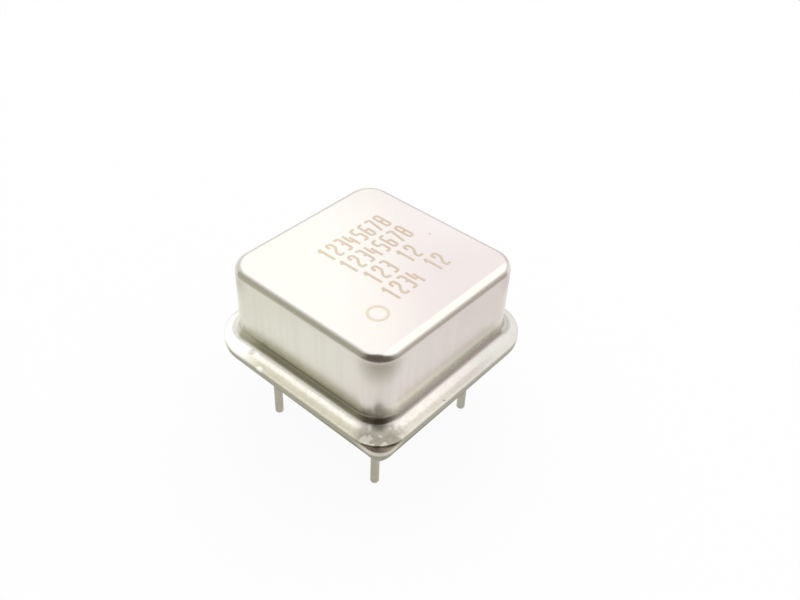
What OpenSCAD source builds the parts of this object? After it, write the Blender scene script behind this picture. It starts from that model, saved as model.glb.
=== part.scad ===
// Crystal oscillator in a half-size metal can, with four leads on a 7.62 mm square.
// The frame's origin is the centre of the lead square, level with the lead tips. +Z is up,
// and +X runs from lead 1 to lead 4. Lead 1 is at -X -Y, 4 at +X -Y, 5 at +X +Y, 8 at -X +Y.

/* [Cover] */
// Distance from each lead's centre out to the outside of the can's wall
can_margin = 1.68; // [1.5:0.01:2.2]
// Height from the underside of the cover's flange to its top
can_h = 4.84; // [4.4:0.01:6]
// Outside radius of the can's four upright corners
can_corner_r = 1.43; // [1.2:0.01:1.8]
// Outside radius of the edge between the top and the walls
top_edge_r = 0.66; // [0.4:0.01:0.9]
// Thickness of the steel sheet
sheet_t = 0.25; // [0.15:0.01:0.3]
// Outside radius of the bend from the wall out to the flange
foot_bend_r = 0.2; // [0.1:0.01:0.35]
// How far the welded flanges reach beyond the can's wall
flange_reach = 0.975; // [0.8:0.005:1.3]
// Radius of the cover flange's three plain corners
cover_corner_r = 2.6; // [1.8:0.05:2.8]
// Radius of the cover flange's corner over lead 1
cover_key_r = 2.0; // [1.4:0.05:2.4]

/* [Header] */
// Thickness of the header at its weld flange
header_t = 0.3; // [0.2:0.01:0.5]
// Height of the header's platform above its flange
platform_h = 0.7; // [0.4:0.01:1]
// Gap between the platform's side and the can's inside wall
platform_gap = 0.12; // [0.05:0.01:0.2]
// Radius that rounds the platform's top edge
platform_edge_r = 0.15; // [0.05:0.01:0.25]
// Radius of the header's three plain corners
header_corner_r = 2.6; // [1.8:0.05:2.8]
// Radius of the squarer header corner that shows where lead 1 is
header_key_r = 0.88; // [0.5:0.02:1.5]

/* [Leads] */
// Distance between neighbouring leads, both ways
lead_pitch = 7.62; // [7.4:0.01:7.7]
// Diameter of a lead's bare wire
lead_d = 0.46; // [0.4:0.01:0.55]
// Thickness of the tin coat on the free end of a lead
coat_t = 0.015; // [0.005:0.005:0.03]
// Distance from a standoff bead down to where the coat ends
coat_gap = 0.3; // [0.1:0.05:1]
// Length of lead below the header
lead_drop = 6; // [3:0.1:8]
// Radius that rounds both ends of a lead
lead_tip_r = 0.12; // [0.05:0.01:0.18]
// How far a lead stands above its pad on the substrate
lead_above_pad = 0.5; // [0.4:0.01:0.7]

/* [Glass seals] */
// Diameter of the glass in the header's holes
seal_d = 1.6; // [1.4:0.01:1.7]
// Height of the glass collar above the platform, which carries the substrate
collar_h = 0.25; // [0.1:0.01:0.4]
// Diameter of the collar
collar_d = 1.3; // [1.1:0.01:1.4]
// Height of the standoff bead below the header
standoff_h = 0.4; // [0.2:0.01:0.6]
// Diameter of the standoff bead
standoff_d = 1.2; // [0.9:0.01:1.4]
// Radius that rounds the standoff bead's lower edge
standoff_edge_r = 0.16; // [0.05:0.01:0.2]
// Width of the braze between the ground lead and the header
braze_gap = 0.2; // [0.08:0.01:0.3]
// Radius of the hollow braze fillet under the header
braze_fillet_r = 0.3; // [0.2:0.01:0.4]

/* [Substrate] */
// Distance from the platform's side in to the substrate's side
substrate_inset = 0.5; // [0.3:0.01:0.55]
// Thickness of the alumina
substrate_t = 0.635; // [0.4:0.005:0.8]
// Chamfer on the substrate's corner at lead 1
substrate_key = 0.3; // [0.1:0.01:0.4]
// Gap all round a lead in its hole through the substrate
lead_hole_gap = 0.1; // [0.05:0.01:0.15]
// Thickness of the fired conductor film
film_t = 0.03; // [0.02:0.005:0.05]
// Width of a conductor track
track_w = 0.35; // [0.2:0.01:0.45]
// Diameter of the round pad at each lead
lead_pad_d = 1.4; // [1.3:0.01:1.5]
// Radius of the hollow solder fillet round a lead
solder_fillet_r = 0.3; // [0.15:0.01:0.35]

/* [Oscillator die] */
// Width of the die, along X
die_w = 1.5; // [1.2:0.01:1.8]
// Length of the die, along Y
die_l = 1.4; // [1.2:0.01:1.8]
// Thickness of the die
die_t = 0.28; // [0.2:0.01:0.35]
// Thickness of the epoxy under the die
die_epoxy_t = 0.04; // [0.02:0.01:0.06]
// How far the epoxy spreads beyond the die
die_epoxy_reach = 0.08; // [0.04:0.01:0.12]
// How far the die's own pad reaches beyond the die
die_pad_reach = 0.2; // [0.15:0.01:0.25]
// Diameter of a bond wire
wire_d = 0.05; // [0.03:0.005:0.06]
// Distance from the die's edge in to a wire's ball bond
wire_in = 0.15; // [0.1:0.01:0.25]
// Distance from the die's edge out to a wire's far bond
wire_out = 0.6; // [0.55:0.01:0.8]
// Distance between neighbouring wires
wire_pitch = 0.48; // [0.46:0.01:0.5]

/* [Bypass capacitor] */
// Length of the capacitor, along Y
cap_l = 1.6; // [1.4:0.01:1.8]
// Width and height of the capacitor
cap_w = 0.8; // [0.6:0.01:0.9]
// Length of each plated end
cap_end_l = 0.35; // [0.25:0.01:0.45]
// Thickness of the end plating
cap_plating_t = 0.04; // [0.02:0.01:0.06]
// Gap between the die's pad and the capacitor
cap_gap = 0.35; // [0.3:0.01:0.5]
// Radius of the hollow solder fillet at each end
cap_fillet_r = 0.2; // [0.1:0.01:0.3]

/* [Crystal] */
// Thickness of the quartz blank
blank_t = 0.17; // [0.1:0.01:0.25]
// Diameter of the round electrode on each face
electrode_d = 3.8; // [3:0.05:4.5]
// Thickness of an electrode
electrode_t = 0.03; // [0.02:0.005:0.04]
// Width of the tab from an electrode to the edge
tab_w = 0.8; // [0.5:0.01:1]
// Distance from a tab's end to the edge of the blank
tab_end_gap = 0.1; // [0.08:0.01:0.2]

/* [Spring clips] */
// Height of a clip's shelf above the film
clip_h = 1.3; // [1.15:0.01:1.5]
// Width of a clip's strip
clip_w = 1.1; // [0.8:0.01:1.4]
// Thickness of a clip's strip
clip_t = 0.12; // [0.08:0.01:0.15]
// Inside radius of a clip's two bends
clip_bend_r = 0.12; // [0.08:0.01:0.15]
// Gap between the blank's edge and a clip's upright
clip_gap = 0.1; // [0.05:0.01:0.15]
// Length of a clip's flat foot
clip_foot_l = 0.5; // [0.35:0.01:0.55]
// Distance from a clip's foot to the substrate's edge
clip_edge_gap = 0.28; // [0.15:0.01:0.4]
// Length of a clip's flat shelf
clip_shelf_l = 0.55; // [0.4:0.01:0.8]
// Thickness of adhesive between a shelf and the blank
bond_t = 0.08; // [0.05:0.01:0.12]
// Diameter of an adhesive bead
bead_d = 0.8; // [0.6:0.01:0.95]
// How far an adhesive bead laps over the blank's edge
bead_lap = 0.12; // [0.08:0.01:0.18]
// Height of an adhesive bead above the blank
bead_rise = 0.12; // [0.08:0.01:0.2]
// Radius that rounds an adhesive bead's top edge
bead_edge_r = 0.1; // [0.05:0.01:0.15]

/* [Hidden] */
$fn = 64;

// Heights of the faces that the pieces seat on
header_z = lead_drop;
flange_z = header_z + header_t;
platform_z = flange_z + platform_h;
substrate_z = platform_z + collar_h;
film_z = substrate_z + substrate_t;
circuit_z = film_z + film_t;
die_z = circuit_z + die_epoxy_t;
shelf_z = circuit_z + clip_h;
blank_z = shelf_z + bond_t;
top_z = flange_z + can_h;

// Widths that follow from the leads
can_w = lead_pitch + 2 * can_margin;
corner_axes = can_w - 2 * can_corner_r;
flange_w = can_w + 2 * flange_reach;
platform_corner_r = can_corner_r - sheet_t - platform_gap;
platform_w = corner_axes + 2 * platform_corner_r;
substrate_w = platform_w - 2 * substrate_inset;

// Leads, holes and fillets
lead_r = lead_d / 2;
coat_r = lead_r + coat_t;
coat_top = header_z - standoff_h - coat_gap;
lead_at = lead_pitch / 2;
lead_hole_r = lead_r + lead_hole_gap;
fillet_toe = 0.04;

// Circuit layout
wire_x = die_w / 2 + wire_out;
bond_pad_w = wire_pitch - 0.14;
die_pad_w = die_w + 2 * die_pad_reach;
die_pad_l = die_l + 2 * die_pad_reach;
cap_y = die_pad_l / 2 + cap_gap + cap_l / 2;
cap_pad_w = cap_w + 0.2;
cap_pad_l = cap_end_l + cap_fillet_r + 2 * fillet_toe;

// Clips from the substrate's edge inwards, and the largest blank that fits between them
clip_foot_x = substrate_w / 2 - clip_edge_gap - clip_foot_l;
clip_x = clip_foot_x - clip_bend_r - clip_t;
blank_r = clip_x - clip_gap;
bead_x = blank_r + bead_lap - bead_d / 2;

// ---- Plane shapes -------------------------------------------------------------------------

// A quarter of a disc, in the first quadrant
module quarter_disc(r) {
    intersection() {
        circle(r = r);
        square(2 * r);
    }
}

// A quarter of a ring, in the first quadrant: a sheet's bend, seen along it
module quarter_ring(inner_r, outer_r) {
    difference() {
        quarter_disc(outer_r);
        circle(r = inner_r);
    }
}

// A point turned a number of quarter turns about the origin
function turned(p, quarters) = quarters == 0 ? p : turned([-p[1], p[0]], quarters - 1);

// A square about the origin with its own radius at each corner, in lead order 1, 4, 5, 8
module rounded_square(side, radii) {
    half = side / 2;
    polygon([for (k = [0:3]) let (r = radii[k])
        for (p = [[-half, r - half], [r - half, r - half], [r - half, -half]]) turned(p, k)]);
    for (k = [0:3]) rotate(90 * k) translate([radii[k] - half, radii[k] - half])
        rotate(180) quarter_disc(radii[k]);
}

// The section of a hollow fillet in the corner of two faces, blunt at its two toes
module fillet_section(r) {
    side = r + fillet_toe;
    difference() {
        square(side);
        translate([side, side]) circle(r = r);
    }
}

// ---- Solid helpers ------------------------------------------------------------------------

// Carries a section round a square with rounded corners. The section's X is the distance out
// from the upright axis of a corner, and its Y is height.
module round_the_can() {
    for (k = [0:3]) rotate(90 * k) translate([corner_axes / 2, corner_axes / 2, 0]) {
        rotate_extrude(angle = 90) children();
        rotate([90, 0, 0]) linear_extrude(corner_axes) children();
    }
}

// The square between the corner axes, as a plate
module middle_plate(z, t) {
    translate([-corner_axes / 2, -corner_axes / 2, z]) cube([corner_axes, corner_axes, t]);
}

module at_lead(number) {
    side = [[1, -1, -1], [4, 1, -1], [5, 1, 1], [8, -1, 1]];
    for (s = side) if (s[0] == number) translate([s[1] * lead_at, s[2] * lead_at, 0]) children();
}

// Stands a section in XZ up and gives it a width along Y, centred
module strip(width) {
    translate([0, width / 2, 0]) rotate([90, 0, 0]) linear_extrude(width) children();
}

// ---- Can and header -----------------------------------------------------------------------

// Sheet section from the middle of the top, over the top edge, down the wall and out to the
// flange, which is left long for trimming
module cover_section() {
    wall_x = can_corner_r - sheet_t;
    foot_x = can_corner_r + foot_bend_r;
    foot_top = flange_z + sheet_t + foot_bend_r;
    edge_x = can_corner_r - top_edge_r;
    untrimmed = 1.5 * (flange_w - corner_axes) / 2;
    translate([0, top_z - sheet_t]) square([edge_x, sheet_t]);
    translate([edge_x, top_z - top_edge_r]) quarter_ring(top_edge_r - sheet_t, top_edge_r);
    translate([wall_x, foot_top]) square([sheet_t, top_z - top_edge_r - foot_top]);
    translate([foot_x, foot_top]) rotate(180) quarter_ring(foot_bend_r, foot_bend_r + sheet_t);
    translate([foot_x, flange_z]) square([untrimmed - foot_x, sheet_t]);
}

// Drawn from one sheet, then trimmed to the flange's outline
module cover() {
    color("#d3d1cb") intersection() {
        union() {
            round_the_can() cover_section();
            middle_plate(top_z - sheet_t, sheet_t);
        }
        translate([0, 0, flange_z - sheet_t]) linear_extrude(can_h + 2 * sheet_t)
            rounded_square(flange_w, [cover_key_r, cover_corner_r, cover_corner_r, cover_corner_r]);
    }
}

module platform_section() {
    straight = platform_corner_r - platform_edge_r;
    height = header_t + platform_h;
    square([straight, height]);
    translate([straight, 0]) square([platform_edge_r, height - platform_edge_r]);
    translate([straight, height - platform_edge_r]) quarter_disc(platform_edge_r);
}

module header() {
    color("#c9c6bd") difference() {
        union() {
            translate([0, 0, header_z]) linear_extrude(header_t) rounded_square(flange_w,
                [header_key_r, header_corner_r, header_corner_r, header_corner_r]);
            translate([0, 0, header_z]) round_the_can() platform_section();
            middle_plate(header_z, header_t + platform_h);
        }
        for (number = [1, 5, 8]) at_lead(number) through_header(seal_d / 2);
        at_lead(4) through_header(lead_r + braze_gap);
    }
}

module through_header(r) {
    translate([0, 0, header_z - 1]) cylinder(r = r, h = header_t + platform_h + 2);
}

// ---- Leads and seals ----------------------------------------------------------------------

// Half the section of a rod from the origin up, with a rounded top end
module rod_section(r, length) {
    straight = r - lead_tip_r;
    square([straight, length]);
    translate([straight, 0]) square([lead_tip_r, length - lead_tip_r]);
    translate([straight, length - lead_tip_r]) quarter_disc(lead_tip_r);
}

// The coated free end, and above it the bare wire up through the header and substrate
module lead(number) {
    bare = circuit_z + lead_above_pad - coat_top;
    color("#b9b5a6") at_lead(number) translate([0, 0, coat_top]) rotate_extrude() {
        mirror([0, 1]) rod_section(coat_r, coat_top);
        rod_section(lead_r, bare);
    }
}

// Glass through the header, with a collar above it and a standoff bead below it
module seal(number) {
    wide = standoff_d / 2 - lead_r;
    color("#3d4a44") at_lead(number) rotate_extrude() translate([lead_r, 0]) {
        translate([0, header_z]) square([seal_d / 2 - lead_r, header_t + platform_h]);
        translate([0, platform_z]) square([collar_d / 2 - lead_r, collar_h]);
        translate([0, header_z - standoff_h]) square([wide - standoff_edge_r, standoff_h]);
        translate([wide - standoff_edge_r, header_z - standoff_h + standoff_edge_r]) {
            square([standoff_edge_r, standoff_h - standoff_edge_r]);
            rotate(-90) quarter_disc(standoff_edge_r);
        }
    }
}

// Braze that fills the ground lead's hole, with a hollow fillet below and a collar above
module ground_braze() {
    color("#c8b98a") at_lead(4) rotate_extrude() translate([lead_r, 0]) {
        translate([0, header_z]) square([braze_gap, header_t + platform_h]);
        translate([0, platform_z]) square([collar_d / 2 - lead_r, collar_h]);
        translate([0, header_z]) mirror([0, 1]) fillet_section(braze_fillet_r);
    }
}

// ---- Substrate and circuit ----------------------------------------------------------------

module lead_holes() {
    for (number = [1, 4, 5, 8]) at_lead(number) circle(r = lead_hole_r);
}

module substrate() {
    half = substrate_w / 2;
    color("#efece2") translate([0, 0, substrate_z]) linear_extrude(substrate_t) difference() {
        polygon([[substrate_key - half, -half], [half, -half], [half, half], [-half, half],
            [-half, substrate_key - half]]);
        lead_holes();
    }
}

// One straight length of track, with square ends
module track(from, to) {
    low = [min(from[0], to[0]), min(from[1], to[1])];
    high = [max(from[0], to[0]), max(from[1], to[1])];
    translate(low - [track_w, track_w] / 2) square(high - low + [track_w, track_w]);
}

module bond_pad(side, row) {
    translate([side * wire_x, row * wire_pitch]) square(bond_pad_w, center = true);
}

module clip_pad() {
    translate([clip_x, -clip_w / 2]) square([clip_foot_x + clip_foot_l - clip_x, clip_w]);
}

// The six islands of film: four run to leads, two to the clips
module conductor_tracks() {
    bus_y = cap_y + cap_l / 2;
    run_y = die_pad_l / 2 + track_w;
    color("#b8b2a4") translate([0, 0, film_z]) linear_extrude(film_t) difference() {
        union() {
            for (number = [1, 4, 5, 8]) at_lead(number) circle(d = lead_pad_d);
            for (side = [-1, 1]) for (row = [-1, 0, 1]) bond_pad(side, row);
            // Supply: lead 8 to the capacitor and the die
            track([-lead_at, bus_y], [0, bus_y]);
            track([-lead_at, bus_y], [-lead_at, lead_at]);
            track([-wire_x, wire_pitch], [-wire_x, bus_y]);
            cap_pad(1);
            // Ground: lead 4 to the die's pad and the capacitor
            square([die_pad_w, die_pad_l], center = true);
            track([0, 0], [0, cap_y - cap_l / 2]);
            cap_pad(-1);
            track([0, -run_y], [lead_at, -run_y]);
            track([0, -run_y], [0, 0]);
            track([wire_x, -run_y], [wire_x, -wire_pitch]);
            track([lead_at, -run_y], [lead_at, -lead_at]);
            // Output: the die to lead 5
            track([wire_x, wire_pitch], [wire_x, lead_at]);
            track([wire_x, lead_at], [lead_at, lead_at]);
            // Enable: the die to lead 1
            track([-wire_x, -wire_pitch], [-wire_x, -lead_at]);
            track([-wire_x, -lead_at], [-lead_at, -lead_at]);
            // Crystal: the die to both clips
            for (side = [0, 1]) mirror([side, 0]) {
                track([wire_x, 0], [clip_foot_x, 0]);
                clip_pad();
            }
        }
        lead_holes();
    }
}

module cap_pad(end) {
    at = cap_y + end * (cap_l / 2 + (cap_pad_l / 2 - cap_end_l));
    translate([0, at]) square([cap_pad_w, cap_pad_l], center = true);
}

module solder_joint(number) {
    color("#bfc1c0") at_lead(number) rotate_extrude()
        translate([lead_r, circuit_z]) fillet_section(solder_fillet_r);
}

module oscillator_die() {
    color("#4a5566") translate([-die_w / 2, -die_l / 2, die_z]) cube([die_w, die_l, die_t]);
}

module die_attach() {
    wide = [die_w, die_l] + 2 * [die_epoxy_reach, die_epoxy_reach];
    color("#9a9a94") translate([0, 0, circuit_z]) linear_extrude(die_epoxy_t)
        square(wide, center = true);
}

// A wire leaves its ball bond straight up and comes down to the film on one arc
module bond_wire() {
    drop = die_z + die_t - circuit_z;
    span = wire_in + wire_out;
    loop_r = (span * span + drop * drop) / (2 * span);
    start_x = die_w / 2 - wire_in;
    translate([start_x, 0, die_z + die_t]) cylinder(d = 2 * wire_d, h = wire_d);
    intersection() {
        translate([start_x + loop_r, 0, die_z + die_t]) rotate([-90, 0, 0]) rotate([0, 0, -180])
            rotate_extrude(angle = 260) translate([loop_r, 0]) circle(d = wire_d);
        translate([start_x - loop_r, -loop_r, circuit_z]) cube([4 * loop_r, 2 * loop_r, 4 * loop_r]);
    }
}

module bond_wires() {
    color("#d8b45a") for (side = [0, 1]) mirror([side, 0, 0]) for (row = [-1, 0, 1])
        translate([0, row * wire_pitch, 0]) bond_wire();
}

// ---- Capacitor ----------------------------------------------------------------------------

module capacitor_block(l, w) {
    translate([-w / 2, cap_y - l / 2, circuit_z + (cap_w - w) / 2]) cube([w, l, w]);
}

module bypass_capacitor() {
    color("#b7a48a") capacitor_block(cap_l - 2 * cap_plating_t, cap_w - 2 * cap_plating_t);
}

module capacitor_ends() {
    color("#c4c4c2") difference() {
        capacitor_block(cap_l, cap_w);
        translate([-cap_w, cap_y - cap_l / 2 + cap_end_l, circuit_z - 1])
            cube([2 * cap_w, cap_l - 2 * cap_end_l, cap_w + 2]);
        capacitor_block(cap_l - 2 * cap_plating_t, cap_w - 2 * cap_plating_t);
    }
}

module capacitor_solder() {
    color("#bfc1c0") for (end = [0, 1]) translate([0, cap_y, circuit_z]) rotate(90 + 180 * end)
        translate([cap_l / 2, 0, 0]) strip(cap_w) fillet_section(cap_fillet_r);
}

// ---- Crystal ------------------------------------------------------------------------------

module crystal_blank() {
    color("#dfe6e4", 0.6) translate([0, 0, blank_z]) cylinder(r = blank_r, h = blank_t);
}

// A round film with a tab towards +X
module electrode() {
    linear_extrude(electrode_t) {
        circle(d = electrode_d);
        translate([0, -tab_w / 2]) square([blank_r - tab_end_gap, tab_w]);
    }
}

module upper_electrode() {
    color("#d9c27e") translate([0, 0, blank_z + blank_t]) electrode();
}

module lower_electrode() {
    color("#d9c27e") translate([0, 0, blank_z - electrode_t]) rotate(180) electrode();
}

// Z-shaped strip: a foot that points out, an upright, and a shelf that points in
module clip() {
    bend = clip_t + clip_bend_r;
    color("#c2b280") translate([0, 0, circuit_z]) strip(clip_w) {
        translate([clip_foot_x, 0]) square([clip_foot_l, clip_t]);
        translate([clip_foot_x, bend]) rotate(180) quarter_ring(clip_bend_r, bend);
        translate([clip_x, bend]) square([clip_t, clip_h - 2 * bend]);
        translate([clip_x - clip_bend_r, clip_h - bend]) quarter_ring(clip_bend_r, bend);
        translate([clip_x - clip_bend_r - clip_shelf_l, clip_h - clip_t])
            square([clip_shelf_l, clip_t]);
    }
}

module right_clip() {
    clip();
}

module left_clip() {
    rotate(180) clip();
}

// A bead of conductive adhesive round the blank's edge, on a clip's shelf
module adhesive_bead() {
    height = bond_t + blank_t + bead_rise;
    straight = bead_d / 2 - bead_edge_r;
    translate([bead_x, 0, shelf_z]) rotate_extrude() {
        square([straight, height]);
        translate([straight, 0]) square([bead_edge_r, height - bead_edge_r]);
        translate([straight, height - bead_edge_r]) quarter_disc(bead_edge_r);
    }
}

module adhesive(turn) {
    color("#8f918f") difference() {
        rotate(turn) adhesive_bead();
        crystal_blank();
        upper_electrode();
        lower_electrode();
    }
}

module right_adhesive() {
    adhesive(0);
}

module left_adhesive() {
    adhesive(180);
}

cover();
header();
lead(1);  // lead_1_enable
lead(4);  // lead_4_ground
lead(5);  // lead_5_output
lead(8);  // lead_8_supply
seal(1);  // seal_1
seal(5);  // seal_5
seal(8);  // seal_8
ground_braze();
substrate();
conductor_tracks();
solder_joint(1);  // solder_joint_1
solder_joint(4);  // solder_joint_4
solder_joint(5);  // solder_joint_5
solder_joint(8);  // solder_joint_8
oscillator_die();
die_attach();
bond_wires();
bypass_capacitor();
capacitor_ends();
capacitor_solder();
crystal_blank();
upper_electrode();
lower_electrode();
left_clip();
right_clip();
left_adhesive();
right_adhesive();
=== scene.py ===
# %% [markdown]
# A crystal oscillator in a half-size metal can: a drawn steel cover is welded to a stamped
# header, and four leads come out below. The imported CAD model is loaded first, as a fixed
# frame. The shell's outer sizes and the leads' places are read from its boxes, so the pieces
# drawn here stay where the CAD model has them.

# %% Load the frame
import bmesh
import bpy
import math
from mathutils import Matrix, Quaternion, Vector


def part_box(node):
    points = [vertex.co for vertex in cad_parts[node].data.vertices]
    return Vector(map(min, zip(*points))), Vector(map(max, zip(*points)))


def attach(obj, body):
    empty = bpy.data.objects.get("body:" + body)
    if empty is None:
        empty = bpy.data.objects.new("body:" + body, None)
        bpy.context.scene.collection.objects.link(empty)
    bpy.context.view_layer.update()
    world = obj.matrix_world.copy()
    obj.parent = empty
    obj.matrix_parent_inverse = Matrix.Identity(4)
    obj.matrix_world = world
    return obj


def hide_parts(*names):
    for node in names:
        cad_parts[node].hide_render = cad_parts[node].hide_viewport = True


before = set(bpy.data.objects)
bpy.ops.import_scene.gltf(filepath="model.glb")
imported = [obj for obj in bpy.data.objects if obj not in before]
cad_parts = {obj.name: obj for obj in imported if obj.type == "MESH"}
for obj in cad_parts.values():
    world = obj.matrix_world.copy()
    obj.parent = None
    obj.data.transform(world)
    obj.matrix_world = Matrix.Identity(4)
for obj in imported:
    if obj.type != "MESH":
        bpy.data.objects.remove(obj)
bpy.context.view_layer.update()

MM = 0.001  # the scene is in metres, and this object is easier to think of in millimetres
LEVEL = 0.001 * MM  # points whose heights differ by less than this are level

# %% [markdown]
# The camera looks down on the corner over lead 1, so both front walls show about equally.
# It stands only 54 mm away, which gives the strong perspective of a close-up. Its direction
# is an azimuth and an elevation, and a small roll then tips the picture a little.

# %% Camera
CAMERA_PLACE = Vector((-27.574, -24.553, 39.470)) * MM
CAMERA_AZIMUTH = math.radians(-50.529)
CAMERA_ELEVATION = math.radians(39.969)
CAMERA_ROLL = math.radians(2.855)
LENS = 40.46


def towards(azimuth, elevation):
    """A unit vector: azimuth turns from -Y towards +X, and elevation rises from the floor."""
    flat = math.cos(elevation)
    return Vector((math.sin(azimuth) * flat, -math.cos(azimuth) * flat, math.sin(elevation)))


camera_data = bpy.data.cameras.new("camera")
camera_data.lens = LENS
camera_data.clip_start = 1 * MM
camera = bpy.data.objects.new("camera", camera_data)
bpy.context.scene.collection.objects.link(camera)
camera.rotation_mode = "QUATERNION"
back = towards(CAMERA_AZIMUTH, CAMERA_ELEVATION)
camera.rotation_quaternion = back.to_track_quat("Z", "Y") @ Quaternion((0, 0, 1), CAMERA_ROLL)
camera.location = CAMERA_PLACE
bpy.context.scene.camera = camera
bpy.context.scene.view_settings.view_transform = "Standard"
print("Camera stands", round(CAMERA_PLACE.length / MM, 1), "mm from the lead tips' centre")

# %% [markdown]
# Four helpers serve every material. One turns an sRGB hex colour to the linear values that
# shaders work in. One adds a node, sets its options, and links or fills its inputs, so a
# material reads as a short list of nodes. One starts a material with a Principled shader,
# and the last turns the size of a pattern to its scale.

# %% Colour and node helpers
def linear(code):
    """An sRGB hex colour as the linear RGBA that a shader reads."""
    values = [int(code[i:i + 2], 16) / 255 for i in (1, 3, 5)]
    rgb = [v / 12.92 if v <= 0.04045 else ((v + 0.055) / 1.055) ** 2.4 for v in values]
    return (*rgb, 1.0)


def add_node(tree, kind, settings=None, inputs=None):
    """Adds a node. settings are its options; inputs are values, or sockets to link from."""
    node = tree.nodes.new(kind)
    for name, value in (settings or {}).items():
        setattr(node, name, value)
    for name, value in (inputs or {}).items():
        if isinstance(value, bpy.types.NodeSocket):
            tree.links.new(value, node.inputs[name])
        else:
            node.inputs[name].default_value = value
    return node


def new_material(name, shader_inputs):
    """A material with a Principled shader: (material, its node tree, the shader)."""
    material = bpy.data.materials.new(name)
    material.use_nodes = True
    tree = material.node_tree
    tree.nodes.clear()
    shader = add_node(tree, "ShaderNodeBsdfPrincipled", {}, shader_inputs)
    add_node(tree, "ShaderNodeOutputMaterial", {}, {"Surface": shader.outputs["BSDF"]})
    return material, tree, shader


def per_mm(size):
    """Noise scale that gives features of this size in millimetres on Object coordinates."""
    return 1 / (size * MM)


# %% [markdown]
# A tinted or worn place is painted through masks. A mask is a value from 0 to 1 that says
# where a colour lies: a ramp over a height or a distance, in plain millimetres, or noise.
# Masks multiply, so a wash of colour lies only where all of its masks agree. What they read
# is the place on Object coordinates, and since every piece's object sits at the origin,
# that is a plain place in metres.

# %% Masks and washes
def calc(tree, operation, a, b=0.0):
    """One sum on two values."""
    return add_node(tree, "ShaderNodeMath", {"operation": operation}, {0: a, 1: b}).outputs[0]


def product(tree, first, *others):
    """Values multiplied together."""
    for other in others:
        first = calc(tree, "MULTIPLY", first, other)
    return first


def vector_calc(tree, operation, a, b=(0, 0, 0)):
    """One sum on vectors. It gives a vector, or a value where the sum measures something."""
    node = add_node(tree, "ShaderNodeVectorMath", {"operation": operation}, {0: a, 1: b})
    measures = operation in ("LENGTH", "DISTANCE", "DOT_PRODUCT")
    return node.outputs["Value" if measures else "Vector"]


def object_place(tree):
    """The place on the piece, in metres."""
    return add_node(tree, "ShaderNodeTexCoord").outputs["Object"]


def ramp(tree, value, start, end, unit=MM):
    """0 where value is start, rising to 1 at end. Both are in mm, or plain with a unit of 1."""
    return add_node(tree, "ShaderNodeMapRange", {"interpolation_type": "SMOOTHSTEP"}, {
        "Value": value, "From Min": start * unit, "From Max": end * unit}).outputs["Result"]


def spot(tree, place, centre_mm, radius_mm):
    """1 at a point on the surface, falling to 0 at a radius."""
    away = vector_calc(tree, "DISTANCE", place, Vector(centre_mm) * MM)
    return ramp(tree, away, radius_mm, radius_mm * 0.4)


def noise(tree, place, size_mm, detail, roughness=0.5):
    """Noise from 0 to 1 whose features have about this size."""
    return add_node(tree, "ShaderNodeTexNoise", {}, {
        "Vector": place, "Scale": per_mm(size_mm), "Detail": detail,
        "Roughness": roughness}).outputs["Fac"]


def mix_colour(tree, share, a, b):
    """Colour b over colour a, by share. Each is a socket or a hex colour."""
    a, b = [linear(c) if isinstance(c, str) else c for c in (a, b)]
    return add_node(tree, "ShaderNodeMix", {"data_type": "RGBA"}, {
        "Factor": share, "A": a, "B": b}).outputs["Result"]


def wash(tree, tint, colour, *masks):
    """Lays a colour over a tint, by all the masks multiplied. A plain number thins it."""
    return mix_colour(tree, product(tree, *masks), tint, colour)


def emboss(tree, shader, heights, depth_mm, strength=1.0):
    """Gives the surface a fine relief: heights, in parts of a depth."""
    bump = add_node(tree, "ShaderNodeBump", {}, {
        "Height": heights, "Strength": strength, "Distance": depth_mm * MM})
    tree.links.new(bump.outputs["Normal"], shader.inputs["Normal"])


# %% [markdown]
# Most surfaces are broken up in the same three ways: a tint that drifts between two colours,
# a gloss that changes with the grain, and a fine relief. One function makes that base, and
# each material then adds what is its own.

# %% Base of a worked surface
def worked_surface(name, light, dark, drift_mm, grain_mm, relief_mm, rough, shader_inputs):
    """A material with drifting tint, grain and relief. rough is its (low, high) roughness.

    A relief of 0 is left for the material to make by itself. The function gives the material,
    its node tree and shader, the place and the tint.
    """
    material, tree, shader = new_material(name, shader_inputs)
    place = object_place(tree)
    tint = mix_colour(tree, noise(tree, place, drift_mm, 3.0), light, dark)
    grain = noise(tree, place, grain_mm, 3.0)
    gloss = add_node(tree, "ShaderNodeMapRange", {}, {
        "Value": grain, "From Min": 0.3, "From Max": 0.7, "To Min": rough[0], "To Max": rough[1]})
    tree.links.new(tint, shader.inputs["Base Color"])
    tree.links.new(gloss.outputs["Result"], shader.inputs["Roughness"])
    if relief_mm:
        emboss(tree, shader, grain, relief_mm)
    return material, tree, shader, place, tint


# %% [markdown]
# Shapes are made with bmesh operators. The can and the flanges are all squares with round
# corners, so one helper makes such an edge loop: it starts from a four-sided circle and
# bevels each corner to its own radius. Loops are then bridged into walls and flanges, and
# the bends are bevels, just as a press turns a flat blank into a drawn can.

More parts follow.
